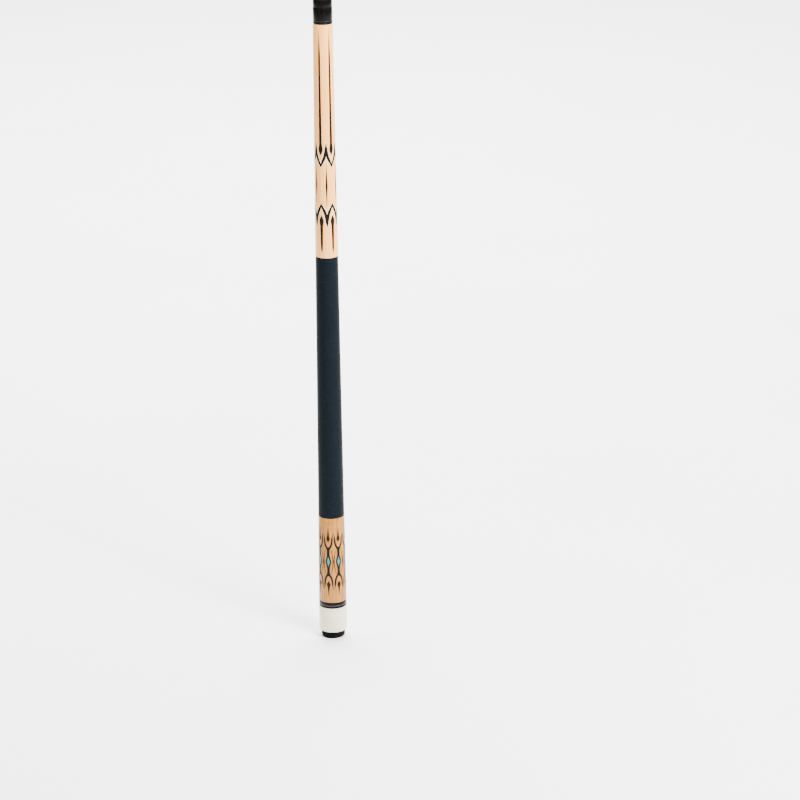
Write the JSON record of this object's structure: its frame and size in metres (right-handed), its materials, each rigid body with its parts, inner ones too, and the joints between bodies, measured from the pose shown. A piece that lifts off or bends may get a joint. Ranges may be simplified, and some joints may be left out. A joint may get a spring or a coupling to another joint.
{
  "type": "pool cue",
  "caption": "Two-piece pool cue with a pinned screw joint, a thread-wrapped handle, an inlaid sleeve and forearm, a ferrule with a leather tip and a rubber bumper.",
  "frame": {"origin": "centre of the foot of the bumper, where the standing cue meets the surface", "axes": "+Z along the cue's axis from the bumper to the tip; -Y towards the side shown in front"},
  "size_m": [0.0318, 0.0318, 1.473],
  "materials": {
    "rubber_black": "matte",
    "cap_white": "polished",
    "black_phenolic": "polished",
    "nickel_silver": "polished",
    "sleeve_maple": "figured maple under clear lacquer",
    "black_wood": "black-dyed wood under clear lacquer",
    "turquoise": "polished",
    "red_brown_wood": "under clear lacquer",
    "core_wood": "bare",
    "wrap_linen": "pressed linen thread",
    "steel": "turned",
    "arm_maple": "maple under clear lacquer",
    "pale_veneer": "under clear lacquer",
    "brass": "turned",
    "shaft_maple": "maple, sanded smooth",
    "ferrule_white": "satin",
    "fibre_black": "matte",
    "tip_leather": "chalked"
  },
  "bodies": {
    "butt": {"bumper": "rubber_black", "bumper_screw": "steel", "bumper_washer": "steel", "weight_bolt": "steel", "butt_cap": "cap_white", "cap_ring_lower": "black_phenolic", "cap_ring_silver": "nickel_silver", "cap_ring_upper": "black_phenolic", "butt_sleeve": "sleeve_maple", "sleeve_forks": "black_wood", "sleeve_lozenges": "turquoise", "sleeve_darts": "black_wood", "sleeve_side_lines": "red_brown_wood", "handle_core": "core_wood", "handle_wrap": "wrap_linen", "handle_stud": "steel", "forearm": "arm_maple", "forearm_upper_points": "black_wood", "forearm_lower_points": "black_wood", "forearm_zigzags": "black_wood", "forearm_veneers": "pale_veneer", "forearm_diamonds": "black_wood", "butt_joint_rings_silver": "nickel_silver", "butt_joint_ring_black": "black_phenolic", "butt_joint_collar": "black_phenolic", "joint_pin": "steel"},
    "shaft_insert": {"shaft_insert": "brass"},
    "shaft": {"shaft_collar": "black_phenolic", "shaft_joint_rings_silver": "nickel_silver", "shaft_joint_ring_black": "black_phenolic", "shaft": "shaft_maple", "ferrule": "ferrule_white", "tip_pad": "fibre_black", "tip": "tip_leather"}
  },
  "joints": [
    {"name": "shaft_lift", "type": "slide", "parent": "butt", "child": "shaft_insert", "axis": [0, 0, 1], "range_m": [0, 0.02822]},
    {"name": "shaft_turn", "type": "hinge", "parent": "shaft_insert", "child": "shaft", "pos_m": [0, 0, 0.737], "axis": [0, 0, 1], "range_deg": [0, 7200]}
  ],
  "couplings": [
    {"joint": "shaft_turn", "follows": "shaft_lift", "rad_per_m": 4452.7}
  ]
}
